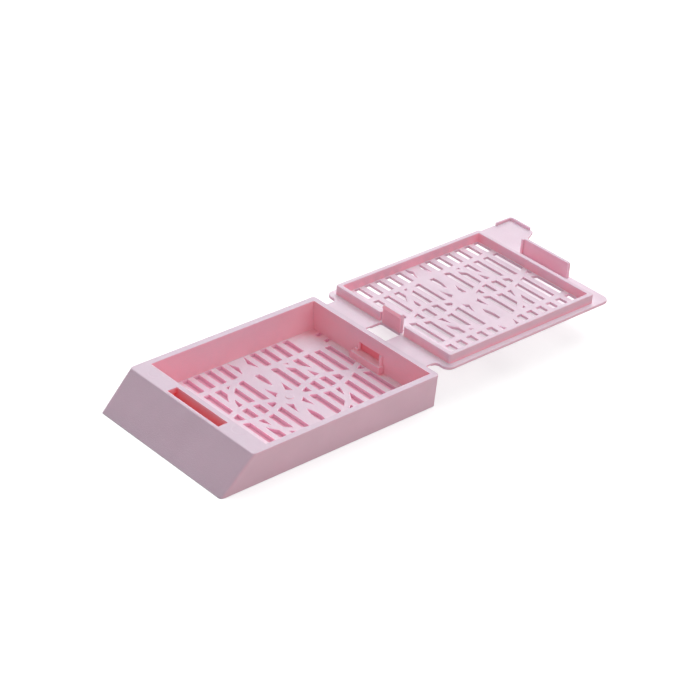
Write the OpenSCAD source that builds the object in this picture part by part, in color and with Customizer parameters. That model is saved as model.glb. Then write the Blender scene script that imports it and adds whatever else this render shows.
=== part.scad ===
// Tissue processing cassette: a perforated tray with a sloped writing face,
// moulded in one piece with a perforated lid that folds over on two thin hinge webs.
// The lid is shown open, flat in line with the tray's rim, as it leaves the mould.

/* [Base] */
// Length of the base from the foot of the writing slope to the rear wall
base_l = 41.2; // [36:0.2:52]
// Width of the base across its rim
base_w = 28.4; // [24:0.2:36]
// Height of the base
base_h = 5.6; // [4.6:0.1:8]
// Distance that the writing slope leans back from its foot to the rim
slope_run = 5.4; // [4:0.1:7]
// Depth of the flat shelf between the slope and the tray
shelf_l = 3.15; // [2.6:0.05:5]
// Amount by which each long wall leans in from the rim to the foot
side_draft = 0.3; // [0:0.05:0.6]
// Radius of the upright corners
corner_r = 0.6; // [0.3:0.1:1.5]
// Radius of the long edges of the writing slope
slope_edge_r = 0.9; // [0.3:0.1:1.2]

/* [Walls] */
// Thickness of the long walls
side_wall = 1.1; // [0.8:0.05:1.6]
// Thickness of the rear wall
rear_wall = 1; // [0.8:0.05:1.6]
// Thickness of the tray's floor
floor_t = 0.7; // [0.5:0.05:1.2]
// Thickness of the sloped writing wall, square to the slope
slope_wall = 1; // [0.6:0.05:1.4]
// Thickness of the shelf over the hollow nose
shelf_t = 1; // [0.6:0.05:1.5]
// Thickness of the wall between the latch slot and the tray
bulkhead_t = 0.95; // [0.7:0.05:1.4]

/* [Grille] */
// Distance from one slot to the next
slot_pitch = 2.17; // [1.8:0.01:3]
// Width of each slot
slot_w = 1.1; // [0.6:0.05:1.4]
// Distance of each straight cross rib from the middle
cross_rib_y = 8.1; // [6:0.1:9]
// Width of the straight cross ribs
cross_rib_w = 1.1; // [0.6:0.05:1.6]
// Radius of the ring rib, to its middle
ring_r = 8.7; // [6:0.1:10]
// Width of the ring rib and of the waves that run along the cassette
wave_w = 1; // [0.6:0.05:1.4]
// Width of the waves that run across the cassette
cross_wave_w = 1.6; // [1.2:0.05:2]
// Height of each wave
wave_a = 1.85; // [1:0.05:2.4]
// Height of each wave that runs across
cross_wave_a = 1.3; // [1:0.05:1.6]
// Radius of the solid hub in the middle
hub_r = 2; // [1.2:0.1:3]
// Solid margin between the slots and the walls beside them
grille_margin = 0.1; // [0.05:0.05:0.6]

/* [Lid] */
// Thickness of the lid plate
lid_t = 0.5; // [0.4:0.05:1.2]
// Distance of the lid's long edges inside the base's rim
lid_inset = 0.4; // [0.1:0.05:0.8]
// Distance of the lid's front edge behind the top of the slope, when shut
lid_setback = 0.3; // [0.1:0.05:0.6]
// Radius of the lid's corners
lid_corner_r = 1.3; // [0.5:0.1:2.5]
// Height of the lid's raised frame
frame_h = 1.55; // [1:0.05:2.4]
// Thickness of the lid's raised frame
frame_t = 0.8; // [0.5:0.05:1.2]
// Clearance between the shut lid's frame and the walls of the tray
frame_gap = 0.2; // [0.1:0.05:0.5]
// Radius of the frame's corners
frame_corner_r = 0.4; // [0.2:0.1:1]
// Gap between the rear catch and the frame on each side of it
frame_break = 0.65; // [0.3:0.05:1.2]

/* [Hinge] */
// Free length of the hinge webs
web_l = 2; // [1.6:0.1:3]
// Thickness of the hinge webs
web_t = 0.3; // [0.15:0.05:0.4]
// Distance of each web's outer edge inside the base's rim
web_inset = 3; // [1.5:0.1:6]
// Width of the opening between the two webs
hinge_hole_w = 4.5; // [3:0.1:8]
// Radius where a web flares into the lid
web_fillet_r = 0.8; // [0.3:0.1:1.2]

/* [Latches] */
// Width of the lip in front of the latch slot
slot_lip = 0.45; // [0.3:0.05:1]
// Length of the latch slot
latch_slot_l = 11.8; // [8:0.1:18]
// Thickness of the latch flap
flap_t = 0.55; // [0.4:0.05:0.9]
// Clearance between each end of the latch flap and the end of its slot
flap_end_gap = 0.8; // [0.2:0.05:1.5]
// Clearance between the latch flap's tip and the front of its slot, as it swings in
flap_gap = 0.1; // [0.05:0.05:0.4]
// Depth of the short return at one end of the latch flap
return_d = 0.4; // [0.2:0.05:0.5]
// Height of the latch flap's tip over the base's foot, when shut
flap_tip_z = 2.8; // [1.5:0.1:3.5]
// Radius of the latch flap's free upper corner
flap_corner_r = 0.5; // [0.3:0.1:1.5]
// Distance of each side of the rear catch inside the opening between the webs
catch_side_gap = 0.35; // [0.1:0.05:0.8]
// Width of the ledge at the foot of the rear wall
ledge_w = 6.6; // [5:0.1:10]
// Depth of the ledge
ledge_d = 1; // [0.6:0.05:1.5]
// Height of the ledge over the floor
ledge_h = 1.25; // [0.6:0.05:1.6]
// Clearance between the ledge and the tip of the rear catch, when shut
catch_gap = 0.55; // [0.2:0.05:1]
// Height of the recess that the rear catch snaps into
recess_h = 1.35; // [1.1:0.05:1.6]
// Depth of the recess
recess_d = 0.45; // [0.3:0.05:0.6]
// Height by which the catch's nib stands proud
nib_d = 0.25; // [0.15:0.05:0.3]
// Clearance of the nib and of the recess beside it
nib_gap = 0.1; // [0.05:0.05:0.2]

/* [Thumb tab] */
// Length of the thumb tab beyond the lid's front edge
thumb_l = 6.1; // [4:0.1:8]
// Width of the thumb tab where it leaves the lid
thumb_root_w = 8.2; // [5:0.1:10]
// Width of the thumb tab at its tip
thumb_tip_w = 5.2; // [3:0.1:8]
// Height of the nail ridge around the tab's outer corner
ridge_h = 0.45; // [0.2:0.05:0.8]
// Width of the nail ridge
ridge_w = 0.35; // [0.3:0.05:0.8]
// Length of the nail ridge along the tab's side
ridge_l = 3.3; // [1.5:0.1:5]

/* [Hidden] */
$fn = 48;
over = 1;                                   // how far a cut runs past a face

tray_x0 = slope_run + shelf_l;              // front wall of the tray
tray_x1 = base_l - rear_wall;               // rear wall of the tray
tray_w = base_w - 2 * side_wall;            // width of the tray at the rim
tray_floor_w = tray_w - 2 * side_draft;     // width of the tray at its floor
centre_x = (tray_x0 + tray_x1) / 2;         // middle of both grilles, and the origin

hinge_x = base_l + web_l / 2;               // fold line of the lid
web_y0 = hinge_hole_w / 2;
web_y1 = base_w / 2 - web_inset;

// A place on the open lid, from the place over the base where it shuts.
function opened(x) = 2 * hinge_x - x;

lid_w = base_w - 2 * lid_inset;
lid_x0 = base_l + web_l;                    // rear edge of the lid plate
lid_x1 = opened(slope_run + lid_setback);   // front edge of the lid plate
frame_x0 = opened(tray_x1 - frame_gap);
frame_x1 = opened(tray_x0 + frame_gap);
frame_w = tray_w - 2 * frame_gap;

latch_x0 = slope_run + slot_lip;            // latch slot, front to back
latch_x1 = tray_x0 - bulkhead_t;
flap_w = latch_slot_l - 2 * flap_end_gap;
flap_h = base_h - flap_tip_z;
flap_reach = hinge_x - latch_x0 - flap_gap; // from the fold line to the flap's tip
flap_x = hinge_x + sqrt(flap_reach * flap_reach - flap_h * flap_h) - flap_t;

ledge_z = floor_t + ledge_h;                // top of the rear ledge
catch_w = hinge_hole_w - 2 * catch_side_gap;
catch_h = base_h - ledge_z - catch_gap;     // height of the rear catch over the lid
nib_h = recess_h - catch_gap - 2 * nib_gap; // height of the nib on the catch

wave_u0 = 1.2;                              // where the lengthwise waves first meet
wave_u1 = 12.4;                             // where they cross again
cross_v0 = 2;                               // the same for the waves that run across
cross_v1 = 10.8;
wave_step = 0.8;                            // length of one facet of a wave
gate_r = 0.65;                              // stub of the moulding gate
gate_h = 0.15;
notch_w = 0.7;                              // drain notches beside the solid corner pad
notch_l = 1;
notch_ys = [8.9, 11];
thumb_corner_r = 0.6;

// Height of a wave at the distance t from the middle, for a wave of height a
// that is zero at t0 and again at t1.
function wave(t, a, t0, t1) = abs(t) < t0 ? 0 : a * sin(180 * (abs(t) - t0) / (t1 - t0));

// Rectangle from one corner to the other, with its corners rounded.
module rounded_box_2d(x0, x1, w, r) {
    translate([x0 + r, -w / 2]) square([x1 - x0 - 2 * r, w]);
    translate([x0, -w / 2 + r]) square([x1 - x0, w - 2 * r]);
    for (x = [x0 + r, x1 - r], side = [-1, 1])
        translate([x, side * (w / 2 - r)]) circle(r);
}

// Draws a side view, with X to the right and Z up, across the width w.
module across(w) {
    rotate([90, 0, 0]) linear_extrude(w, center = true) children();
}

// Draws an end view, with Y to the right and Z up, from x0 to x1.
module along(x0, x1) {
    translate([x0, 0, 0]) rotate([90, 0, 90]) linear_extrude(x1 - x0) children();
}

// Number of the last column of slots on each side, in a field of that half length.
function last_column(half_l) =
    floor((half_l - grille_margin - (slot_pitch + slot_w) / 2) / slot_pitch);

// Strip of width w that follows a wave along X, to the distance reach each way.
module wave_2d(reach, w, a, t0, t1) {
    steps = ceil(2 * reach / wave_step);
    ts = [for (i = [0 : steps]) -reach + 2 * reach * i / steps];
    polygon(concat(
        [for (t = ts) [t, wave(t, a, t0, t1) + w / 2]],
        [for (i = [steps : -1 : 0]) [ts[i], wave(ts[i], a, t0, t1) - w / 2]]));
}

// The ribs that cross the slots: hub, ring and two pairs of mirrored waves.
module ribs_2d(half_l, half_w) {
    circle(hub_r);
    difference() {
        circle(ring_r + wave_w / 2);
        circle(ring_r - wave_w / 2);
    }
    for (m = [0, 1]) {
        mirror([0, m]) wave_2d(half_l, wave_w, wave_a, wave_u0, wave_u1);
        mirror([m, 0]) rotate(90) wave_2d(half_w, cross_wave_w, cross_wave_a, cross_v0, cross_v1);
    }
}

// All the openings of one grille that fill a field of the given half length and half width.
module grille_2d(half_l, half_w) {
    row_end = cross_rib_y - cross_rib_w / 2;
    row_start = cross_rib_y + cross_rib_w / 2;
    difference() {
        union() {
            translate([-slot_w / 2, -row_end]) square([slot_w, 2 * row_end]);
            for (k = [0 : last_column(half_l)], side = [-1, 1])
                translate([side * (k + 0.5) * slot_pitch - slot_w / 2, 0]) {
                    translate([0, -row_end]) square([slot_w, 2 * row_end]);
                    for (y = [row_start, grille_margin - half_w])
                        translate([0, y]) square([slot_w, half_w - grille_margin - row_start]);
                }
        }
        ribs_2d(half_l, half_w);
    }
}

// Rounds one long edge of the writing slope.
module slope_edge_cut(side) {
    foot_y = base_w / 2 - side_draft;
    slope_len = norm([slope_run, base_h]);
    translate([0, side * foot_y, 0])
        rotate([0, 90 - atan2(base_h, slope_run), 0])
            rotate([-side * atan2(side_draft, slope_len), 0, 0])
                translate([0, 0, -over])
                    linear_extrude(slope_len + 2 * over)
                        difference() {
                            translate([-over, side > 0 ? -slope_edge_r : -over])
                                square([over + slope_edge_r, over + slope_edge_r]);
                            translate([slope_edge_r, -side * slope_edge_r]) circle(slope_edge_r);
                        }
}

// Outer form of the base: side view, end view and plan, all at once.
module base_block() {
    difference() {
        intersection() {
            across(base_w + over)
                polygon([[0, 0], [base_l, 0], [base_l, base_h], [slope_run, base_h]]);
            along(0, base_l)
                polygon([[-base_w / 2 + side_draft, 0], [base_w / 2 - side_draft, 0],
                         [base_w / 2, base_h], [-base_w / 2, base_h]]);
            linear_extrude(base_h) rounded_box_2d(0, base_l, base_w, corner_r);
        }
        for (side = [-1, 1]) slope_edge_cut(side);
    }
}

// The tray that holds the tissue.
module tray_cut() {
    lean = side_draft * (base_h - floor_t + over) / (base_h - floor_t);
    along(tray_x0, tray_x1)
        polygon([[-tray_floor_w / 2, floor_t], [tray_floor_w / 2, floor_t],
                 [tray_floor_w / 2 + lean, base_h + over], [-tray_floor_w / 2 - lean, base_h + over]]);
}

// The hollow under the slope and the shelf, open below, and the latch slot above it.
module nose_cut() {
    run = slope_run / base_h;
    skin = slope_wall * norm([slope_run, base_h]) / base_h;
    top = base_h - shelf_t;
    across(tray_floor_w)
        polygon([[skin - over * run, -over], [latch_x1, -over], [latch_x1, top],
                 [skin + top * run, top]]);
    translate([latch_x0, -latch_slot_l / 2, top - over])
        cube([latch_x1 - latch_x0, latch_slot_l, shelf_t + 2 * over]);
}

// The openings in the tray's floor, with one corner left solid.
module floor_cut() {
    half_l = (tray_x1 - tray_x0) / 2;
    pad_x = centre_x + (last_column(half_l) - 1) * slot_pitch;
    translate([0, 0, -over]) linear_extrude(floor_t + 2 * over) {
        difference() {
            translate([centre_x, 0]) grille_2d(half_l, tray_floor_w / 2);
            translate([pad_x, cross_rib_y]) square([tray_x1 - pad_x, tray_floor_w]);
        }
        for (y = notch_ys)
            translate([tray_x1 - notch_l, y - notch_w / 2]) square([notch_l, notch_w]);
    }
}

// Hinge webs from x0 to x1, flush with the rim.
module webs(x0, x1) {
    for (side = [-1, 1])
        translate([x0, side * (web_y0 + web_y1) / 2 - (web_y1 - web_y0) / 2, base_h - web_t])
            cube([x1 - x0, web_y1 - web_y0, web_t]);
}

module base() {
    color("pink") translate([-centre_x, 0, 0]) {
        difference() {
            base_block();
            tray_cut();
            nose_cut();
            floor_cut();
            translate([tray_x1 - over, -catch_w / 2 - nib_gap, ledge_z])
                cube([over + recess_d, catch_w + 2 * nib_gap, recess_h]);
        }
        translate([tray_x1 - ledge_d, -ledge_w / 2, floor_t / 2])
            cube([ledge_d + rear_wall / 4, ledge_w, ledge_z - floor_t / 2]);
        translate([centre_x, 0, floor_t / 2]) cylinder(h = floor_t / 2 + gate_h, r = gate_r);
        webs(base_l - rear_wall / 2, hinge_x);
    }
}

// Flat outline of the lid: plate, thumb tab and the flares of the hinge webs.
module lid_outline_2d() {
    difference() {
        union() {
            rounded_box_2d(lid_x0, lid_x1, lid_w, lid_corner_r);
            thumb_2d();
            for (side = [-1, 1])
                translate([lid_x0 - web_fillet_r, side * (web_y1 + web_fillet_r / 2) - web_fillet_r / 2])
                    square([web_fillet_r + lid_corner_r, web_fillet_r]);
        }
        for (side = [-1, 1])
            translate([lid_x0 - web_fillet_r, side * (web_y1 + web_fillet_r)]) circle(web_fillet_r);
        translate([lid_x0 - over, -web_y0]) square([frame_x0 - lid_x0 + over, hinge_hole_w]);
    }
}

module thumb_2d() {
    x1 = lid_x1 + thumb_l;
    y1 = base_w / 2;
    r = thumb_corner_r;
    polygon([[lid_x1 - lid_corner_r, y1], [lid_x1 - lid_corner_r, y1 - thumb_root_w],
             [lid_x1, y1 - thumb_root_w], [x1 - r, y1 - thumb_tip_w - r / 2],
             [x1, y1 - thumb_tip_w + r / 2], [x1, y1 - r], [x1 - r, y1]]);
    translate([x1 - r, y1 - r]) circle(r);
}

// Low ridge around the outer corner of the thumb tab.
module nail_ridge() {
    x0 = lid_x1 + thumb_l - ridge_l;
    y0 = base_w / 2 - thumb_tip_w + thumb_corner_r;
    translate([0, 0, base_h - lid_t / 2]) linear_extrude(lid_t / 2 + ridge_h)
        intersection() {
            difference() {
                thumb_2d();
                translate([-ridge_w, -ridge_w]) thumb_2d();
            }
            translate([x0, y0]) square([ridge_l, thumb_tip_w]);
        }
}

// Raised frame, broken at the rear to leave the catch free, with round ends there.
module lid_frame() {
    break_y = catch_w / 2 + frame_break;
    translate([0, 0, base_h - lid_t / 2]) linear_extrude(lid_t / 2 + frame_h) {
        difference() {
            rounded_box_2d(frame_x0, frame_x1, frame_w, frame_corner_r);
            translate([frame_x0 + frame_t, -frame_w / 2 + frame_t])
                square([frame_x1 - frame_x0 - 2 * frame_t, frame_w - 2 * frame_t]);
            translate([frame_x0 - over, -break_y - frame_t / 2])
                square([frame_t + 2 * over, 2 * break_y + frame_t]);
        }
        for (side = [-1, 1])
            translate([frame_x0 + frame_t / 2, side * (break_y + frame_t / 2)]) circle(frame_t / 2);
    }
}

// Catch that drops behind the rear ledge, with a nib for the recess in the rear wall.
module rear_catch() {
    tip = base_h + catch_h;
    translate([frame_x0, -catch_w / 2, base_h - lid_t])
        cube([frame_t, catch_w, catch_h + lid_t]);
    across(catch_w - 2 * nib_gap)
        polygon([[frame_x0 + frame_t / 2, tip - nib_gap - nib_h], [frame_x0, tip - nib_gap - nib_h],
                 [frame_x0 - nib_d, tip - nib_gap - nib_h / 2], [frame_x0, tip - nib_gap],
                 [frame_x0 + frame_t / 2, tip - nib_gap]]);
}

// Flap that drops into the latch slot, with a short return at its end beside the thumb tab.
module latch_flap() {
    z0 = base_h - lid_t / 2;
    z1 = base_h + flap_h;
    r = flap_corner_r;
    along(flap_x, flap_x + flap_t) {
        translate([-flap_w / 2, z0]) square([flap_w, z1 - r - z0]);
        translate([-flap_w / 2 + r, z0]) square([flap_w - r, z1 - z0]);
        translate([-flap_w / 2 + r, z1 - r]) circle(r);
    }
    translate([flap_x - return_d, flap_w / 2 - return_d, z0])
        cube([return_d + flap_t / 2, return_d, z1 - z0]);
}

module lid() {
    half_l = (frame_x1 - frame_x0) / 2 - frame_t;
    color("pink") translate([-centre_x, 0, 0]) {
        difference() {
            translate([0, 0, base_h - lid_t]) linear_extrude(lid_t) lid_outline_2d();
            translate([opened(centre_x), 0, base_h - lid_t - over])
                linear_extrude(lid_t + 2 * over) grille_2d(half_l, frame_w / 2 - frame_t);
        }
        webs(hinge_x, lid_x0 + web_l / 4);
        lid_frame();
        rear_catch();
        latch_flap();
        nail_ridge();
    }
}

base();
lid();
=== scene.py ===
import math
from functools import partial

import bmesh
import bpy
from mathutils import Matrix, Vector


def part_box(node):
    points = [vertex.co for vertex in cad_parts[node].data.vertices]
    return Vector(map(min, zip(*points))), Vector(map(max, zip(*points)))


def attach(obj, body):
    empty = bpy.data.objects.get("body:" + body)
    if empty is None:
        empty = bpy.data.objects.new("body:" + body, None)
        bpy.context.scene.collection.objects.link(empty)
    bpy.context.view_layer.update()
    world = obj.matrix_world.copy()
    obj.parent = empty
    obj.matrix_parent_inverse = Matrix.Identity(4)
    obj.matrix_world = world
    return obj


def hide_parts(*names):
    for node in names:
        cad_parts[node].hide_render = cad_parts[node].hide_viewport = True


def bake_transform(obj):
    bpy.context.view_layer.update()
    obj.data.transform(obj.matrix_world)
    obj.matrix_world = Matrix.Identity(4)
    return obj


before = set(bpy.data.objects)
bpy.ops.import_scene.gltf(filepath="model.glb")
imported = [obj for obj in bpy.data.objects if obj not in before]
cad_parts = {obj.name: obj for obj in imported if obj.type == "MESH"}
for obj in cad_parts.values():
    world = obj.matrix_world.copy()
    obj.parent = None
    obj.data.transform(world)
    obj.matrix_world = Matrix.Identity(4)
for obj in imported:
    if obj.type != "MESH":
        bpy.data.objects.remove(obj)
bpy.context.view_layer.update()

# ---- Base ------------------------------------------------------------------------------------
# The larger half of a one-piece acetal moulding: a shallow tray with thin drafted walls, and in
# front of it a hollow nose whose sloped face carries the specimen's number. It is injected
# through a gate in the middle of its perforated floor, and every edge comes out a little soft.

MM = 0.001
base_low, base_high = (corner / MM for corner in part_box("base"))
rim = base_high.z
fold_line = base_high.x
half_web = 1.0               # from the fold line back to the rear wall, and on to the lid's plate
rear_face = fold_line - half_web
face_run = 5.4               # how far the writing face leans back, measured level
slope_foot, slope_top = base_low.x, base_low.x + face_run
slant = (slope_top - slope_foot) / rim
draft = 0.3                  # how much further in the side walls stand at the foot
half_rim, half_foot = base_high.y, base_high.y - draft
tray_reach = 15.825          # from the middle of the floor to its front and rear walls
tray_half_rim, tray_half_floor = 13.1, 12.8
floor_top = 0.7
shelf_under = rim - 1.0
nose_wall = 1.389            # the 1 mm sloped wall, measured level
latch_front, latch_rear = slope_top + 0.55, -tray_reach - 0.92
latch_y = (-5.7, 5.9)
recess_depth, recess_y, recess_z = 0.45, (-2.2, 2.35), (1.95, 3.45)
slope_round, corner_round = 0.55, 0.6
foot_spare = 0.5             # the block runs on below the foot, and is trimmed once it is rounded
spare = 1.0                  # how far a cutter runs on past the face that it opens


def piece_of(name, mesh):
    piece = bpy.data.objects.new(name, mesh)
    bpy.context.scene.collection.objects.link(piece)
    return piece


def loft(name, low, high, start, end, along="Z"):
    """A closed solid from the outline low at start to the outline high at end, in millimetres."""
    form = bmesh.new()
    rings = [[form.verts.new(Vector((a, t, b) if along == "Y" else (a, b, t)) * MM)
              for a, b in outline] for outline, t in ((low, start), (high, end))]
    form.faces.new(rings[0])
    form.faces.new(rings[1][::-1])
    for k in range(len(low)):
        after = (k + 1) % len(low)
        form.faces.new((rings[0][k], rings[0][after], rings[1][after], rings[1][k]))
    bmesh.ops.recalc_face_normals(form, faces=form.faces)
    mesh = bpy.data.meshes.new(name)
    form.to_mesh(mesh)
    form.free()
    return piece_of(name, mesh)


def prism(name, outline, start, end, along="Z"):
    return loft(name, outline, outline, start, end, along)


def box(name, x, y, z):
    return prism(name, [(x[0], y[0]), (x[1], y[0]), (x[1], y[1]), (x[0], y[1])], *z)


def rectangle(x0, x1, half_width):
    return [(x0, -half_width), (x1, -half_width), (x1, half_width), (x0, half_width)]


def bake(piece):
    """Turns the piece's modifiers into plain mesh."""
    graph = bpy.context.evaluated_depsgraph_get()
    mesh = bpy.data.meshes.new_from_object(piece.evaluated_get(graph))
    piece.modifiers.clear()
    piece.data = mesh


def mould(body, tool, operation="UNION"):
    """Adds the tool to the body, and leaves one closed skin."""
    step = body.modifiers.new("mould", "BOOLEAN")
    step.solver, step.operation, step.object = "MANIFOLD", operation, tool
    bake(body)
    bpy.data.objects.remove(tool)


def cut(body, tool):
    """Takes the tool out of the body."""
    mould(body, tool, "DIFFERENCE")


def clean(piece):
    """Merges the flat faces that moulding has cut up."""
    form = bmesh.new()
    form.from_mesh(piece.data)
    bmesh.ops.remove_doubles(form, verts=form.verts, dist=2e-7)
    bmesh.ops.dissolve_limit(form, angle_limit=math.radians(0.6), verts=form.verts,
                             edges=form.edges)
    form.to_mesh(piece.data)
    form.free()


def soften(piece, radius):
    """Rounds every edge sharper than the facets of a curve."""
    edges = piece.modifiers.new("soft edges", "BEVEL")
    edges.width, edges.segments = radius * MM, 3
    edges.limit_method, edges.angle_limit = "ANGLE", math.radians(31)
    edges.use_clamp_overlap = True
    bake(piece)


def round_edges(piece, radius, segments, chosen):
    """Rounds the edges that chosen picks by their two ends, in millimetres."""
    form = bmesh.new()
    form.from_mesh(piece.data)
    edges = [e for e in form.edges if chosen(*(v.co / MM for v in e.verts))]
    bmesh.ops.bevel(form, geom=edges, offset=radius * MM, segments=segments, profile=0.5,
                    affect="EDGES", offset_type="OFFSET")
    form.to_mesh(piece.data)
    form.free()


def upright(a, b):
    """Whether the edge between two points runs up a wall."""
    return abs(a.z - b.z) > 1


# The solid block, with its upright edges rounded.
base = loft("base_moulding",
            rectangle(slope_foot - slant * foot_spare, rear_face,
                      half_foot - draft / rim * foot_spare),
            rectangle(slope_top, rear_face, half_rim), -foot_spare, rim)
round_edges(base, slope_round, 5,
            lambda a, b: upright(a, b) and min(a.x, b.x) < slope_foot + 0.1)
round_edges(base, corner_round, 5,
            lambda a, b: upright(a, b) and min(a.x, b.x) > rear_face - 0.1)

# The tray, the hollow under the nose, the latch's slot and the catch's recess.
tray_lean = (tray_half_rim - tray_half_floor) / (rim - floor_top)
cut(base, loft("tray", rectangle(-tray_reach, tray_reach, tray_half_floor),
               rectangle(-tray_reach, tray_reach, tray_half_rim + tray_lean * spare),
               floor_top, rim + spare))
cut(base, prism("nose_hollow", [
    (slope_foot + nose_wall - slant * spare, -spare), (latch_rear, -spare),
    (latch_rear, shelf_under), (slope_foot + nose_wall + slant * shelf_under, shelf_under)],
    -tray_half_floor, tray_half_floor, "Y"))
cut(base, box("latch_slot", (latch_front, latch_rear), latch_y,
              (shelf_under - spare / 2, rim + spare)))
cut(base, box("catch_recess", (tray_reach - spare, tray_reach + recess_depth), recess_y,
              recess_z))
clean(base)
soften(base, 0.2)
far_and_wide = (-40, 40)
cut(base, box("foot_trim", far_and_wide, far_and_wide, (-3, 0)))


def wire(tree, node, links):
    """Feeds the node's inputs, from sockets or with plain values."""
    for name, value in links.items():
        for one in value if isinstance(value, list) else [value]:
            if isinstance(one, bpy.types.NodeSocket):
                tree.links.new(one, node.inputs[name])
            else:
                node.inputs[name].default_value = one


def add(tree, kind, links=None, **settings):
    """Adds a node, applies its settings, and feeds its inputs."""
    node = tree.nodes.new(kind)
    for name, value in settings.items():
        setattr(node, name, value)
    wire(tree, node, links or {})
    return node


def calc(tree, operation, a, b=0.0):
    return add(tree, "ShaderNodeMath", {0: a, 1: b}, operation=operation).outputs[0]


def point_at(tree, x=0.0, y=0.0, z=0.0):
    return add(tree, "ShaderNodeCombineXYZ", {0: x, 1: y, 2: z}).outputs[0]


def new_group(name, kind, inputs, outputs):
    """An empty node group with its named sockets: its tree, its inputs and its end node."""
    tree = bpy.data.node_groups.new(name, kind)
    for socket, form, default in inputs:
        made = tree.interface.new_socket(socket, in_out="INPUT", socket_type="NodeSocket" + form)
        if default is not None:
            made.default_value = default
    for socket, form in outputs:
        tree.interface.new_socket(socket, in_out="OUTPUT", socket_type="NodeSocket" + form)
    return tree, tree.nodes.new("NodeGroupInput").outputs, tree.nodes.new("NodeGroupOutput")


# The floor's grille, which lets reagents run through: a row of straight bars, two long ribs, a
# ring, a hub, and two pairs of mirrored waves, all flush, with the slots left between them. Each
# rib is one rounded section swept along its path.
sweep_tree, given, result = new_group("Rib Sweep", "GeometryNodeTree", [
    ("Path", "Geometry", None), ("Width", "Float", 0.001), ("Thickness", "Float", 0.001),
    ("Edge Radius", "Float", 0.0001)], [("Mesh", "Geometry")])
section = add(sweep_tree, "GeometryNodeFilletCurve", {
    "Curve": add(sweep_tree, "GeometryNodeCurvePrimitiveQuadrilateral",
                 {"Width": given["Width"], "Height": given["Thickness"]}).outputs[0],
    "Radius": given["Edge Radius"], "Count": 3}, mode="POLY")
upright_path = add(sweep_tree, "GeometryNodeSetCurveNormal", {"Curve": given["Path"]},
                   mode="Z_UP")
swept = add(sweep_tree, "GeometryNodeCurveToMesh", {
    "Curve": upright_path.outputs[0], "Profile Curve": section.outputs[0], "Fill Caps": True})
wire(sweep_tree, result, {"Mesh": swept.outputs[0]})

wave_tree, given, result = new_group("Wave Rib", "GeometryNodeTree", [
    ("Reach", "Float", 0.015), ("Width", "Float", 0.001), ("Height", "Float", 0.002),
    ("First Crossing", "Float", 0.001), ("Second Crossing", "Float", 0.012),
    ("Thickness", "Float", 0.001), ("Edge Radius", "Float", 0.0001)], [("Mesh", "Geometry")])
times, minus = (partial(calc, wave_tree, step) for step in ("MULTIPLY", "SUBTRACT"))
straight = add(wave_tree, "GeometryNodeResampleCurve", {
    "Curve": add(wave_tree, "GeometryNodeCurvePrimitiveLine", {
        "Start": point_at(wave_tree, times(given["Reach"], -1.0)),
        "End": point_at(wave_tree, given["Reach"])}).outputs[0], "Count": 81})
along = add(wave_tree, "ShaderNodeSeparateXYZ",
            {0: add(wave_tree, "GeometryNodeInputPosition").outputs[0]}).outputs[0]
past_start = minus(calc(wave_tree, "ABSOLUTE", along), given["First Crossing"])
half_turns = calc(wave_tree, "DIVIDE", past_start,
                  minus(given["Second Crossing"], given["First Crossing"]))
swing = calc(wave_tree, "SINE",
             times(calc(wave_tree, "MAXIMUM", half_turns, 0.0), math.pi))
bent = add(wave_tree, "GeometryNodeSetPosition", {
    "Geometry": straight.outputs[0],
    "Offset": point_at(wave_tree, 0.0, times(swing, given["Height"]))})
wave = add(wave_tree, "GeometryNodeGroup", {
    "Path": bent.outputs[0],
    **{size: given[size] for size in ("Width", "Thickness", "Edge Radius")}},
    node_tree=sweep_tree)
wire(wave_tree, result, {"Mesh": wave.outputs[0]})

grille_tree, given, result = new_group("Grille", "GeometryNodeTree", [
    ("Geometry", "Geometry", None),
    ("Centre X", "Float", 0.0), ("Top Z", "Float", 0.0), ("Thickness", "Float", 0.0007),
    ("Half Length", "Float", 0.0157), ("Half Width", "Float", 0.013),
    ("Border Y", "Float", 0.0127), ("Columns", "Int", 6), ("Slot Pitch", "Float", 0.00217),
    ("Slot Width", "Float", 0.0011), ("Cross Rib Distance", "Float", 0.0081),
    ("Cross Rib Width", "Float", 0.0011), ("Ring Radius", "Float", 0.0087),
    ("Wave Width", "Float", 0.001), ("Wave Height", "Float", 0.00185),
    ("Cross Wave Width", "Float", 0.0016), ("Cross Wave Height", "Float", 0.0013),
    ("Hub Radius", "Float", 0.002), ("Edge Radius", "Float", 0.0001),
    ("Material", "Material", None)], [("Geometry", "Geometry")])
times, minus = (partial(calc, grille_tree, step) for step in ("MULTIPLY", "SUBTRACT"))
here = partial(point_at, grille_tree)


def rib(path, width):
    return add(grille_tree, "GeometryNodeGroup", {
        "Path": path, "Width": width, "Thickness": given["Thickness"],
        "Edge Radius": given["Edge Radius"]}, node_tree=sweep_tree).outputs[0]


def cross_piece(half_span, width, start=None):
    """A straight rib across the grille, whole or from start to one side."""
    first = here(0.0, times(half_span, -1.0) if start is None else start)
    return rib(add(grille_tree, "GeometryNodeCurvePrimitiveLine",
                   {"Start": first, "End": here(0.0, half_span)}).outputs[0], width)


def long_piece(half_span, width):
    """A straight rib along the grille."""
    return rib(add(grille_tree, "GeometryNodeCurvePrimitiveLine",
                   {"Start": here(times(half_span, -1.0)), "End": here(half_span)}).outputs[0],
               width)


def circle(radius, corners):
    return add(grille_tree, "GeometryNodeCurvePrimitiveCircle",
               {"Resolution": corners, "Radius": radius}).outputs[0]


def wave_rib(reach, width, height, first, second):
    return add(grille_tree, "GeometryNodeGroup", {
        "Reach": reach, "Width": width, "Height": height, "First Crossing": first,
        "Second Crossing": second, "Thickness": given["Thickness"],
        "Edge Radius": given["Edge Radius"]}, node_tree=wave_tree).outputs[0]


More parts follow.
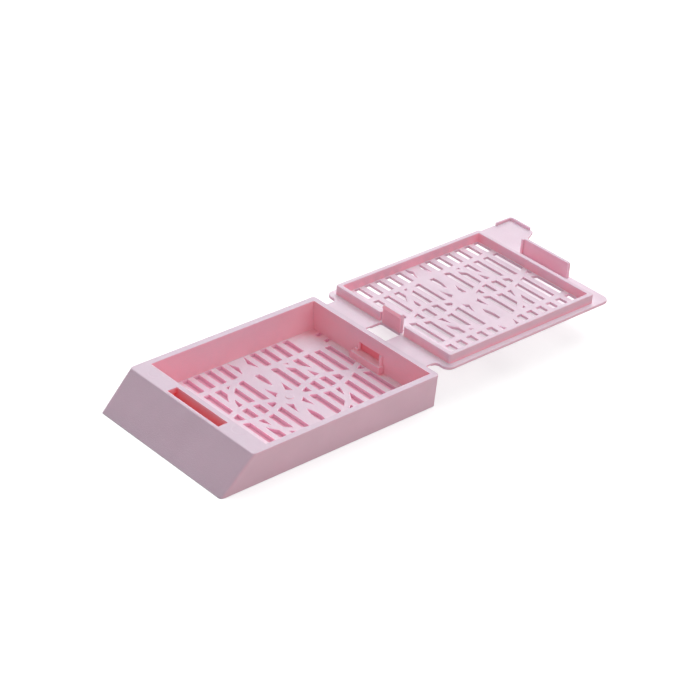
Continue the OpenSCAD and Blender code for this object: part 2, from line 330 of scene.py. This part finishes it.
def moved(geometry, x=0.0, y=0.0, turn=0.0):
    return add(grille_tree, "GeometryNodeTransform", {
        "Geometry": geometry, "Translation": here(x, y), "Rotation": (0, 0, turn)}).outputs[0]


def both_sides(geometry, x=0.0, y=0.0):
    """The geometry at that distance on one side of the middle and on the other."""
    far = [times(v, -1.0) if v else 0.0 for v in (x, y)]
    return add(grille_tree, "GeometryNodeJoinGeometry", {
        0: [moved(geometry, x, y), moved(geometry, *far)]}).outputs[0]


half_length, half_width = given["Half Length"], given["Half Width"]
pitch, slot_width, hub = given["Slot Pitch"], given["Slot Width"], given["Hub Radius"]
bar_width = minus(pitch, slot_width)
seats = add(grille_tree, "GeometryNodeMeshLine", {
    "Count": given["Columns"], "Start Location": here(pitch), "Offset": here(pitch)},
    mode="OFFSET")
bars = add(grille_tree, "GeometryNodeRealizeInstances", {
    "Geometry": add(grille_tree, "GeometryNodeInstanceOnPoints", {
        "Points": seats.outputs[0],
        "Instance": cross_piece(half_width, bar_width)}).outputs[0]}).outputs[0]
half_bar = cross_piece(half_width, bar_width, start=given["Cross Rib Distance"])
last_edge = calc(grille_tree, "ADD", times(pitch, calc(
    grille_tree, "ADD", given["Columns"], 0.5)), times(slot_width, 0.5))
end_width, edge_width = minus(half_length, last_edge), minus(half_width, given["Border Y"])
hub_rim = rib(circle(times(hub, 0.6), 48), times(hub, 0.8))      # reaches in over the core
hub_core = add(grille_tree, "GeometryNodeMeshCylinder", {
    "Vertices": 24, "Radius": times(hub, 0.5), "Depth": given["Thickness"]}).outputs[0]
long_waves = [wave_rib(half_length, given["Wave Width"], times(given["Wave Height"], side),
                       first=0.0012, second=0.0124) for side in (1.0, -1.0)]
cross_waves = [moved(wave_rib(half_width, given["Cross Wave Width"],
                              times(given["Cross Wave Height"], side),
                              first=0.002, second=0.0108), turn=math.pi / 2)
               for side in (1.0, -1.0)]
joined = add(grille_tree, "GeometryNodeMeshBoolean", {"Mesh 2": [
    bars, moved(bars, turn=math.pi), moved(half_bar), moved(half_bar, turn=math.pi),
    both_sides(cross_piece(half_width, end_width), x=minus(half_length, times(end_width, 0.5))),
    both_sides(long_piece(half_length, edge_width), y=minus(half_width, times(edge_width, 0.5))),
    both_sides(long_piece(half_length, given["Cross Rib Width"]), y=given["Cross Rib Distance"]),
    rib(circle(given["Ring Radius"], 96), given["Wave Width"]), hub_rim, hub_core,
    *long_waves, *cross_waves]}, operation="UNION", solver="MANIFOLD")
seated = add(grille_tree, "GeometryNodeTransform", {
    "Geometry": joined.outputs[0], "Translation": point_at(
        grille_tree, given["Centre X"], 0.0,
        minus(given["Top Z"], times(given["Thickness"], 0.5)))})
finished = add(grille_tree, "GeometryNodeSetMaterial", {
    "Geometry": add(grille_tree, "GeometryNodeRealizeInstances",
                    {"Geometry": seated.outputs[0]}).outputs[0],
    "Material": given["Material"]})
wire(grille_tree, result, {"Geometry": finished.outputs[0]})


def grille(name, **sizes):
    """One grille as a plain closed mesh. Sizes are in millimetres, under the tree's names."""
    piece = piece_of(name, bpy.data.meshes.new(name))
    step = piece.modifiers.new("grille", "NODES")
    step.node_group = grille_tree
    for socket in grille_tree.interface.items_tree:
        key = socket.name.replace(" ", "_").lower()
        if socket.in_out == "INPUT" and key in sizes:
            step[socket.identifier] = sizes[key] * MM
    bake(piece)
    return piece


cut(base, box("floor_field", (-15.5, 15.5), (-12.7, 12.7), (-spare, floor_top + 0.2)))
mould(base, grille("floor_grille", top_z=floor_top, thickness=floor_top, half_length=15.7,
                   half_width=13.0, border_y=12.7, edge_radius=0.11))

# The ledge that the lid's catch drops behind, with an upright guide on each side of the recess.
ledge_half, ledge_depth, guide_depth = 3.3, 1.0, 0.3
ledge = box("ledge", (tray_reach - ledge_depth, rear_face - 0.6), (-ledge_half, ledge_half),
            (0.2, recess_z[0]))
soften(ledge, 0.16)
mould(base, ledge)
for y0, y1, top in ((-3.0, -2.35, 3.5), (2.4, 3.1, 2.3)):
    guide = box("catch_guide", (tray_reach - guide_depth, tray_reach + guide_depth), (y0, y1),
                (1.6, top))
    soften(guide, 0.14)
    mould(base, guide)

# One closed corner of the floor with two vent notches, and the stub where the gate broke off.
inset = 0.002                # keeps the pad's faces off the floor's own
mould(base, box("corner_pad", (10.6, tray_reach + 0.2), (8.3, 12.95),
                (inset, floor_top - inset)))
notch_half = 0.35
for y in (8.9, 11.0):
    cut(base, box("vent_notch", (tray_reach - 1.0, tray_reach), (y - notch_half, y + notch_half),
                  (-spare, floor_top + 0.1)))
stub_radius, stub_sides = 0.65, 32
stub = prism("gate_stub", [(stub_radius * math.cos(a), stub_radius * math.sin(a))
                           for a in (k * math.tau / stub_sides for k in range(stub_sides))],
             0.3, floor_top + 0.1)
soften(stub, 0.1)
mould(base, stub)


def shade(piece):
    """Smooth shading that keeps flat faces flat and crisp corners crisp."""
    piece.data.shade_smooth()
    piece.data.set_sharp_from_angle(angle=math.radians(38))
    weights = piece.modifiers.new("flat faces", "WEIGHTED_NORMAL")
    weights.keep_sharp, weights.weight = True, 100
    bake(piece)


clean(base)
shade(base)


def map_value(tree, value, start, end, low=0.0, high=1.0, **settings):
    """A value that goes from low at start to high at end, and no further."""
    return add(tree, "ShaderNodeMapRange", {
        "Value": value, "From Min": start, "From Max": end, "To Min": low, "To Max": high},
        clamp=True, **settings).outputs["Result"]


def mix_colour(tree, share, first, second):
    """The first colour where the share is 0, and the second where it is 1."""
    return add(tree, "ShaderNodeMix", {"Factor": share, 6: first, 7: second},
               data_type="RGBA").outputs[2]


def colour(red, green, blue):
    return (red, green, blue, 1)


# The pink of slightly translucent acetal, with painted light and shade laid over it. Painted
# shade deepens the pink where walls stand close together. Faces that look up are painted paler
# and faces that look sideways rosier, as light falls on them. The hollow, the slots, the catch
# and thin walls take a painted red and a painted glow for the light that comes through.
tone_tree, given, result = new_group("Acetal Colour and Painted Light", "ShaderNodeTree", [
    ("Position", "Vector", None), ("Open Colour", "Color", colour(0.8, 0.6, 0.7)),
    ("Painted Side Light", "Color", colour(0.8, 0.5, 0.6)),
    ("Top Colour", "Color", colour(0.7, 0.6, 0.7)),
    ("Painted Shade Colour", "Color", colour(0.7, 0.4, 0.5)),
    ("Painted Light on Sheltered Tops", "Color", colour(0.9, 0.7, 0.8)),
    ("Painted Hollow Colour", "Color", colour(0.6, 0.2, 0.3)), ("Reach", "Float", 0.004),
    ("First Shelter", "Float", 0.9), ("Full Shelter", "Float", 0.64),
    ("Hollow X", "Float", -1.0), ("Plate Top Z", "Float", -1.0),
    ("Painted Colour in Slots", "Color", colour(0.9, 0.7, 0.8)),
    ("Slot Glow Colour", "Color", colour(0.05, 0.0, 0.0)),
    ("Catch X", "Float", -1.0), ("Catch Half Width", "Float", 0.0026),
    ("Ledge Low Z", "Float", -1.0), ("Ledge High Z", "Float", -1.0),
    ("Thin X", "Float", 1.0), ("Painted Through Light Colour", "Color", colour(0.9, 0.5, 0.6)),
    ("Glow Colour", "Color", colour(0.03, 0.0, 0.0)),
    ("Deep Glow Colour", "Color", colour(0.2, 0.01, 0.01)),
    ("Mottle Size", "Float", 0.005), ("Mottle", "Float", 0.05)],
    [("Colour", "Color"), ("Glow", "Color")])
times, minus, below, above, size_of = (
    partial(calc, tone_tree, step)
    for step in ("MULTIPLY", "SUBTRACT", "LESS_THAN", "GREATER_THAN", "ABSOLUTE"))
ramp, mix = partial(map_value, tone_tree), partial(mix_colour, tone_tree)

openness = add(tone_tree, "ShaderNodeAmbientOcclusion", {"Distance": given["Reach"]},
               samples=8, only_local=True).outputs["AO"]
spot = add(tone_tree, "ShaderNodeSeparateXYZ", {0: given["Position"]}).outputs
facing = add(tone_tree, "ShaderNodeSeparateXYZ", {
    0: add(tone_tree, "ShaderNodeTexCoord").outputs["Normal"]}).outputs

# Where on the moulding a point is. The facing values are cosines: 0.95 is almost square on.
facing_rear = below(facing[0], -0.5)
painted_side_share = ramp(size_of(facing[1]), 0.5, 0.95)
raised = above(spot[2], given["Plate Top Z"])
at_catch = times(raised, times(below(spot[0], given["Catch X"]),
                               below(size_of(spot[1]), given["Catch Half Width"])))
at_thin = above(spot[0], given["Thin X"])
on_ledge = times(above(spot[2], given["Ledge Low Z"]), below(spot[2], given["Ledge High Z"]))

# How much painted shade a point takes from how closed in it is, how much painted red it takes
# deep in the hollow, and how much painted top light it takes from how level it is. The catch
# takes the painted shade on its rear face alone, and the top of the ledge takes only part of the
# painted top light.
catch_shade_share, ledge_top_light_cut = 0.75, 0.75
painted_shade_share = ramp(openness, given["First Shelter"], given["Full Shelter"])
painted_shade_share = add(tone_tree, "ShaderNodeMix", {
    "Factor": at_catch, 2: painted_shade_share, 3: times(facing_rear, catch_shade_share)},
    data_type="FLOAT").outputs[0]
painted_shade_share = times(painted_shade_share, minus(1.0, at_thin))
painted_hollow_share = times(ramp(openness, 0.46, 0.34), below(spot[0], given["Hollow X"]))
painted_top_share = times(ramp(facing[2], 0.6, 0.95), ramp(openness, 0.38, 0.50))
painted_top_share = times(painted_top_share, minus(1.0, times(on_ledge, ledge_top_light_cut)))

# The acetal's own pinks with the painted side light, shade, through light, hollow red and top
# light laid over each other, and the clouding of the colour.
walls = mix(painted_side_share, given["Open Colour"], given["Painted Side Light"])
painted_shade_colours = mix(raised, given["Painted Colour in Slots"], given["Painted Shade Colour"])
with_through_light = mix(times(at_thin, facing_rear), mix(painted_shade_share, walls, painted_shade_colours),
              given["Painted Through Light Colour"])
with_hollow_red = mix(painted_hollow_share, with_through_light, given["Painted Hollow Colour"])
level = mix(ramp(openness, 0.99, 0.5), given["Top Colour"], given["Painted Light on Sheltered Tops"])
laid = mix(painted_top_share, with_hollow_red, level)
cloud = add(tone_tree, "ShaderNodeTexNoise", {
    "Vector": add(tone_tree, "ShaderNodeVectorMath", {
        0: given["Position"], 1: given["Mottle Size"]}, operation="DIVIDE").outputs[0],
    "Scale": 1.0, "Detail": 3.0, "Roughness": 0.55}).outputs[0]
toned = add(tone_tree, "ShaderNodeVectorMath", {
    0: laid, "Scale": ramp(cloud, 0.3, 0.7, low=minus(1.0, given["Mottle"]))},
    operation="SCALE")
# A painted glow for light that comes through: in sheltered places that are not level tops, and
# strongest in the hollow.
through = add(tone_tree, "ShaderNodeVectorMath", {
    0: mix(raised, given["Slot Glow Colour"], given["Glow Colour"]),
    "Scale": times(painted_shade_share, minus(1.0, painted_top_share))}, operation="SCALE")
wire(tone_tree, result, {
    "Colour": toned.outputs[0],
    "Glow": mix(painted_hollow_share, through.outputs[0], given["Deep Glow Colour"])})

# The matt surface that the spark-worn steel of the mould leaves, duller on the writing face.
grain_tree, given, result = new_group("Moulded Grain", "ShaderNodeTree", [
    ("Position", "Vector", None), ("Grain Size", "Float", 0.0003),
    ("Grain Height", "Float", 0.01), ("Roughness", "Float", 0.45),
    ("Roughness Spread", "Float", 0.08), ("Frosted Direction", "Vector", None)],
    [("Roughness", "Float"), ("Height", "Float")])
times, minus, plus = (partial(calc, grain_tree, step)
                      for step in ("MULTIPLY", "SUBTRACT", "ADD"))


def grain_noise(scale, detail, vector=None, **inputs):
    return add(grain_tree, "ShaderNodeTexNoise", {
        "Vector": vector or given["Position"], "Scale": scale, "Detail": detail,
        **inputs}).outputs[0]


pits = grain_noise(1.0, 2.0, add(grain_tree, "ShaderNodeVectorMath", {
    0: given["Position"], 1: given["Grain Size"]}, operation="DIVIDE").outputs[0],
    Roughness=0.6)
ripple = grain_noise(420.0, 1.0)
frost = grain_noise(7000.0, 1.0)
toward_face = add(grain_tree, "ShaderNodeVectorMath", {
    0: add(grain_tree, "ShaderNodeTexCoord").outputs["Normal"],
    1: given["Frosted Direction"]}, operation="DOT_PRODUCT").outputs["Value"]
frosted = map_value(grain_tree, toward_face, 0.97, 0.995)
height = plus(times(pits, given["Grain Height"]), times(ripple, 0.02))
height = plus(height, times(times(frost, 0.02), frosted))
uneven = times(minus(ripple, 0.5), given["Roughness Spread"])
uneven = plus(uneven, times(frosted, 0.12))
wire(grain_tree, result, {"Height": height, "Roughness": plus(given["Roughness"], uneven)})

# The shallow round mark of an ejector pin.
mark_tree, given, result = new_group("Pin Mark", "ShaderNodeTree", [
    ("Position", "Vector", None), ("Centre", "Vector", None), ("Radius", "Float", 0.0012),
    ("Depth", "Float", 0.03)], [("Height", "Float")])
times, minus, plus, below = (partial(calc, mark_tree, step)
                             for step in ("MULTIPLY", "SUBTRACT", "ADD", "LESS_THAN"))
soft_edge, skin_depth = 0.00012, 0.0001      # only the level skin at the pin takes the mark
offset = add(mark_tree, "ShaderNodeSeparateXYZ", {0: add(mark_tree, "ShaderNodeVectorMath", {
    0: given["Position"], 1: given["Centre"]}, operation="SUBTRACT").outputs[0]}).outputs
across = calc(mark_tree, "SQRT", plus(times(offset[0], offset[0]), times(offset[1], offset[1])))
pressed = map_value(mark_tree, minus(across, given["Radius"]), -soft_edge, soft_edge, -1.0, 0.0,
                    interpolation_type="SMOOTHSTEP")
wire(mark_tree, result, {"Height": times(
    times(pressed, given["Depth"]), below(calc(mark_tree, "ABSOLUTE", offset[2]), skin_depth))})


def acetal(name, colours_and_painted_light, grain_values, pins):
    """One half's acetal. Its values go under the names of the groups' sockets, in metres, and
    the centres of its pin marks are in millimetres."""
    material = bpy.data.materials.new(name)
    material.use_nodes = True
    tree = material.node_tree
    place = add(tree, "ShaderNodeTexCoord").outputs["Object"]
    tone = add(tree, "ShaderNodeGroup", {"Position": place, **colours_and_painted_light}, node_tree=tone_tree)
    grain = add(tree, "ShaderNodeGroup", {
        "Position": place, "Roughness Spread": 0.12, **grain_values}, node_tree=grain_tree)
    height = grain.outputs["Height"]
    for x, y in pins:
        mark = add(tree, "ShaderNodeGroup", {
            "Position": place, "Centre": (x * MM, y * MM, rim * MM)}, node_tree=mark_tree)
        height = calc(tree, "ADD", height, mark.outputs[0])
    relief = add(tree, "ShaderNodeBump", {"Height": height, "Strength": 1.0, "Distance": 0.001})
    # The tone group's painted glow goes into the emission, though the acetal gives off no light
    # of its own.
    wire(tree, tree.nodes["Principled BSDF"], {
        "Base Color": tone.outputs["Colour"], "Emission Color": tone.outputs["Glow"],
        "Emission Strength": 1.0, "Roughness": grain.outputs["Roughness"],
        "Normal": relief.outputs[0], "Subsurface Weight": 1.0,
        "Subsurface Radius": (1.0, 0.80, 0.88), "Subsurface Scale": 0.00028, "IOR": 1.48})
    return material


lean_back = math.atan(slant)
base.data.materials.clear()
# Beside the acetal's own pinks: painted shade, painted light on tops, sides and in the slots, a
# painted red and glow in the nose's hollow, and painted through light at the back of the catch's
# recess.
base.data.materials.append(acetal("base acetal", {
    "Open Colour": colour(0.735, 0.55, 0.655), "Painted Side Light": colour(0.82, 0.525, 0.62),
    "Top Colour": colour(0.68, 0.54, 0.64), "Painted Shade Colour": colour(1.0, 0.52, 0.60),
    "Painted Light on Sheltered Tops": colour(1.0, 0.88, 0.97), "Painted Hollow Colour": colour(0.9, 0.12, 0.14),
    "Painted Colour in Slots": colour(1.0, 0.68, 0.80), "Painted Through Light Colour": colour(0.90, 0.26, 0.32),
    "Glow Colour": colour(0.02, 0.0, 0.0), "Deep Glow Colour": colour(0.18, 0.005, 0.01),
    "Slot Glow Colour": colour(0.05, 0.0, 0.01),
    "Reach": 0.012, "First Shelter": 0.90, "Full Shelter": 0.64,
    "Hollow X": (latch_rear + 0.2) * MM, "Plate Top Z": (floor_top - 0.02) * MM,
    "Thin X": (tray_reach + 0.4) * MM,
    "Ledge Low Z": (floor_top + 0.3) * MM, "Ledge High Z": (rim - 0.3) * MM},
    {"Grain Height": 0.01, "Roughness": 0.42,
     "Frosted Direction": (-math.cos(lean_back), 0, math.sin(lean_back))},
    pins=((-16.83, 10.68), (-16.4, -8.05))))
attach(base, "base")
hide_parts("base")

# ---- Lid -------------------------------------------------------------------------------------
# The other half of the moulding: a thin perforated plate with a tab for the thumb, joined to the
# tray's rear wall by two webs of the same acetal, thin enough to fold over as a hinge. A raised
# frame stiffens it and drops inside the tray.

lid_low, lid_high = (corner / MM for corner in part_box("lid"))
plate_low = lid_low.z
tab_length = 6.1
plate_rear, plate_front = fold_line + half_web, lid_high.x - tab_length
plate_half, plate_corner = -lid_low.y, 1.3
tab_side = lid_high.y + 0.25           # the tab's outer side stands a little proud
lid_middle = 2 * fold_line
web_root = fold_line + 0.1
web_inner, web_outer = 2.25, 11.2      # from the middle to the two sides of a web


def rounded(corners):
    """The outline through (x, y, radius) corners, each turned into an arc of short chords."""
    outline = []
    for k, (x, y, radius) in enumerate(corners):
        if not radius:
            outline.append((x, y))
            continue
        corner = Vector((x, y))
        before, after = ((Vector(corners[j][:2]) - corner).normalized()
                         for j in (k - 1, (k + 1) % len(corners)))
        half = before.angle(after) / 2
        centre = corner + (before + after).normalized() * (radius / math.sin(half))
        first, last = (corner + side * (radius / math.tan(half)) - centre
                       for side in (before, after))
        turn = math.atan2(first.x * last.y - first.y * last.x, first.dot(last))
        steps = max(3, round(abs(turn) / math.radians(13)))
        for step in range(steps + 1):
            spun = Matrix.Rotation(turn * step / steps, 2) @ first
            outline.append(tuple(centre + spun))
    return outline


# The plate, anticlockwise from the flare beside the near web, round the tab, to the hole between
# the webs.
hole_front = plate_rear + 1.2
lid = prism("lid_moulding", rounded([
    (web_root, -web_outer, 0), (plate_rear, -web_outer, 0.8),
    (plate_rear, -plate_half, plate_corner), (plate_front, -plate_half, plate_corner),
    (plate_front, tab_side - 8.2, 0.25), (lid_high.x, tab_side - 5.2, 0.5),
    (lid_high.x, tab_side, 0.6), (plate_front - 1.3, tab_side, 0.15),
    (plate_front - 1.3, plate_half, 0), (plate_rear, plate_half, plate_corner),
    (plate_rear, web_outer, 0.8), (web_root, web_outer, 0), (web_root, web_inner, 0),
    (hole_front, web_inner, 0.3), (hole_front, -web_inner, 0.3), (web_root, -web_inner, 0)]),
    plate_low, rim)

# The webs, and the ridge that a nail catches on the tab.
web_under, web_front = rim - 0.3, plate_rear + 0.4
web_side = [(rear_face - 0.3, rim - 0.31), (rear_face + 0.1, web_under), (web_front, web_under),
            (web_front, rim), (rear_face + 0.3, rim), (rear_face - 0.3, rim - 0.012)]
for y0, y1 in ((-web_outer, -web_inner), (web_inner, web_outer)):
    mould(lid, prism("hinge_web", web_side, y0, y1, "Y"))
ridge_x, ridge_y, ridge_wall = lid_high.x - 3.7, tab_side - 4.6, 0.35
mould(lid, prism("nail_ridge", rounded([
    (ridge_x, tab_side, 0), (lid_high.x, tab_side, 0.6), (lid_high.x, ridge_y, 0),
    (lid_high.x - ridge_wall, ridge_y, 0), (lid_high.x - ridge_wall, tab_side - ridge_wall, 0.35),
    (ridge_x, tab_side - ridge_wall, 0)]), rim - 0.2, rim + 0.52))
clean(lid)
soften(lid, 0.1)
field_half_x, field_half_y = 14.9, 12.25
cut(lid, box("lid_field", (lid_middle - field_half_x, lid_middle + field_half_x),
             (-field_half_y, field_half_y), (plate_low - spare, rim + spare)))
mould(lid, grille("lid_grille", centre_x=lid_middle, top_z=rim, thickness=rim - plate_low,
                  half_length=15.3, half_width=12.6, border_y=12.0, edge_radius=0.09))

# The frame, open at the rear between the webs.
frame_rear, frame_front, frame_half = fold_line + 2.2, fold_line + 33.45, 12.9
frame_wall, frame_top, gap_half = 0.8, rim + 1.55, 2.55
inner_corner, outer_corner, end_corner = 0.2, 0.4, 0.39
root = rim - 0.25            # what stands on the plate starts inside it
inner_rear, inner_front = frame_rear + frame_wall, frame_front - frame_wall
inner_half = frame_half - frame_wall
frame_rail = prism("frame_rail", rounded([
    (frame_rear, gap_half, end_corner), (inner_rear, gap_half, end_corner),
    (inner_rear, inner_half, inner_corner), (inner_front, inner_half, inner_corner),
    (inner_front, -inner_half, inner_corner), (inner_rear, -inner_half, inner_corner),
    (inner_rear, -gap_half, end_corner), (frame_rear, -gap_half, end_corner),
    (frame_rear, -frame_half, outer_corner), (frame_front, -frame_half, outer_corner),
    (frame_front, frame_half, outer_corner), (frame_rear, frame_half, outer_corner)]),
    root, frame_top)
soften(frame_rail, 0.15)
mould(lid, frame_rail)

# The catch at the rear and the flap at the front edge, stiff stubs that snap into the base.
catch_tip = lid_high.z
catch = box("rear_catch", (frame_rear, inner_rear), (-1.9, 2.15), (root, catch_tip))
soften(catch, 0.15)
nib_low, nib_high, nib_back = catch_tip - 0.7, catch_tip - 0.1, frame_rear + 0.3
mould(catch, prism("catch_nib", [
    (nib_back, nib_low), (frame_rear, nib_low), (frame_rear - 0.25, catch_tip - 0.4),
    (frame_rear, nib_high), (nib_back, nib_high)], -1.8, 2.05, "Y"))
mould(lid, catch)
flap_x, flap_half, flap_top = frame_front + 2.142, 5.1, rim + 2.8
flap = prism("latch_flap", rounded([
    (flap_x, -flap_half, 0), (flap_x + 0.55, -flap_half, 0), (flap_x + 0.55, flap_half, 0.2),
    (flap_x - 0.4, flap_half, 0), (flap_x - 0.4, 4.7, 0), (flap_x, 4.7, 0)]), root, flap_top)
round_edges(flap, 0.5, 6, lambda a, b: a.y + b.y < -10 and a.z + b.z > 2 * rim + 5)
soften(flap, 0.11)
mould(lid, flap)

# Close rows of points across the webs let them bend as one strip.
row_pitch, rows = 0.1, 24
form = bmesh.new()
form.from_mesh(lid.data)
for k in range(rows):
    bmesh.ops.bisect_plane(
        form, geom=form.verts[:] + form.edges[:] + form.faces[:],
        plane_co=((rear_face - row_pitch + row_pitch * k) * MM, 0, 0), plane_no=(1, 0, 0))
form.to_mesh(lid.data)
form.free()
shade(lid)

lid.data.materials.clear()
# The lid's own pinks differ from the base's. Beside them: painted shade, painted light on tops,
# sides and in the slots, painted shade on the catch's rear face, painted through light on rear
# faces from the flap on, and a painted glow.
lid.data.materials.append(acetal("lid acetal", {
    "Open Colour": colour(0.87, 0.61, 0.72), "Painted Side Light": colour(0.82, 0.51, 0.60),
    "Top Colour": colour(0.72, 0.565, 0.665), "Painted Shade Colour": colour(1.0, 0.50, 0.60),
    "Painted Light on Sheltered Tops": colour(0.97, 0.88, 0.96), "Painted Colour in Slots": colour(0.95, 0.69, 0.81),
    "Painted Through Light Colour": colour(0.92, 0.68, 0.79), "Glow Colour": colour(0.09, 0.005, 0.01),
    "Slot Glow Colour": colour(0.0, 0.0, 0.0),
    "Reach": 0.007, "First Shelter": 0.80, "Full Shelter": 0.55,
    "Plate Top Z": (rim - 0.02) * MM, "Thin X": (flap_x - 0.5) * MM, "Catch X": 20.9 * MM},
    {"Grain Height": 0.008, "Roughness": 0.40},
    pins=((17.6, 7.05), (18.0, -6.9))))
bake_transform(lid)
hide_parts("lid")

# ---- Bench, lamps and camera -----------------------------------------------------------------
# A plain white sheet on a bench. Under the tray it is painted a darker pink, standing in for the
# light that comes through the tray and its shade, and under the lid it takes a fainter painted
# pink shade. The room is bright all round, with one large soft lamp overhead, one behind and a
# weaker one in front.

bench = box("bench", (-400, 400), (-400, 400), (-2, -0.02))
white = bpy.data.materials.new("white sheet")
white.use_nodes = True
tree = white.node_tree
times, mix, fade = (partial(calc, tree, "MULTIPLY"), partial(mix_colour, tree),
                    partial(map_value, tree, interpolation_type="SMOOTHSTEP"))
place = add(tree, "ShaderNodeTexCoord").outputs["Object"]
plan = add(tree, "ShaderNodeSeparateXYZ", {0: place}).outputs
painted_pink_past = 0.2             # how far the painted pink runs under the foot of the tray's walls
painted_pink_beneath_tray = times(*(
    calc(tree, "LESS_THAN", calc(tree, "ABSOLUTE", plan[axis]), (limit + painted_pink_past) * MM)
    for axis, limit in ((0, tray_reach), (1, tray_half_floor))))
# Painted shade under the lid, from how closed in the sheet is, kept off the open sheet in front
# and beside the tray.
painted_shade_beneath_lid = fade(add(tree, "ShaderNodeAmbientOcclusion", {"Distance": 0.012},
                     samples=16).outputs["AO"], 0.86, 0.67)
for axis, start, end in ((0, 22.0, 29.0), (1, -8.0, -3.0)):
    painted_shade_beneath_lid = times(painted_shade_beneath_lid, fade(plan[axis], start * MM, end * MM))


def with_painted_pink(plain, tray_pink_light_and_shade, lid_pink_shade):
    """The plain colour of the sheet, with the painted pink under the tray and the painted shade
    under the lid.
    """
    return mix(painted_shade_beneath_lid, mix(painted_pink_beneath_tray, plain, colour(*tray_pink_light_and_shade)), colour(*lid_pink_shade))


fibre = add(tree, "ShaderNodeTexNoise", {"Vector": place, "Scale": 900.0, "Detail": 3.0})
paper = mix(fibre.outputs[0], colour(0.60, 0.60, 0.60), colour(0.63, 0.63, 0.63))
sheet = tree.nodes["Principled BSDF"]
wire(tree, sheet, {"Roughness": 0.9,
                   "Base Color": with_painted_pink(paper, (0.72, 0.33, 0.43), (0.50, 0.44, 0.48))})
rays = add(tree, "ShaderNodeLightPath").outputs
seen = calc(tree, "MAXIMUM", rays["Is Camera Ray"], calc(
    tree, "MAXIMUM", rays["Is Glossy Ray"], rays["Is Transmission Ray"]))
# Seen directly the sheet glows evenly up to white, less where the painted pink and painted shade
# lie.
glow = add(tree, "ShaderNodeEmission", {
    "Color": with_painted_pink(colour(0.58, 0.58, 0.58), (0.24, 0.135, 0.175), (0.46, 0.415, 0.445)),
    "Strength": seen})
both = add(tree, "ShaderNodeAddShader", {0: sheet.outputs[0], 1: glow.outputs[0]})
wire(tree, tree.nodes["Material Output"], {"Surface": both.outputs[0]})
bench.data.materials.append(white)

scene = bpy.context.scene
scene.view_settings.view_transform = "Standard"
world = bpy.data.worlds.new("white room")
scene.world = world
world.use_nodes = True
room = world.node_tree
rays = add(room, "ShaderNodeLightPath").outputs
seen = calc(room, "MAXIMUM", rays["Is Camera Ray"], rays["Is Transmission Ray"])
strength = add(room, "ShaderNodeMix", {"Factor": seen, 2: 0.46, 3: 1.0}, data_type="FLOAT")
wire(room, room.nodes["Background"], {
    "Color": colour(1, 1, 1), "Strength": strength.outputs[0]})


def softbox(name, at, size, power):
    """A square lamp that looks at the middle of the cassette."""
    lamp = bpy.data.lights.new(name, "AREA")
    lamp.shape, lamp.size, lamp.size_y, lamp.energy = "RECTANGLE", size, size, power
    holder = bpy.data.objects.new(name, lamp)
    scene.collection.objects.link(holder)
    holder.location = at
    aim = Vector((0.018, 0, 0)) - Vector(at)
    holder.rotation_euler = aim.to_track_quat("-Z", "Y").to_euler()


softbox("overhead softbox", (0.75, 0.15, 1.25), 1.0, 6.7)
softbox("rear softbox", (0.68, 0.68, 0.73), 1.1, 7.6)
softbox("front softbox", (0.1, -0.9, 0.45), 0.6, 1.4)

lens = bpy.data.cameras.new("camera")
lens.sensor_width, lens.lens, lens.clip_start = 36, 121.698, 0.01
camera = bpy.data.objects.new("camera", lens)
scene.collection.objects.link(camera)
camera.location = (-0.199741, -0.219229, 0.188631)
camera.rotation_euler = [math.radians(a) for a in (58.7947, -3.6487, -41.7580)]
scene.camera = camera
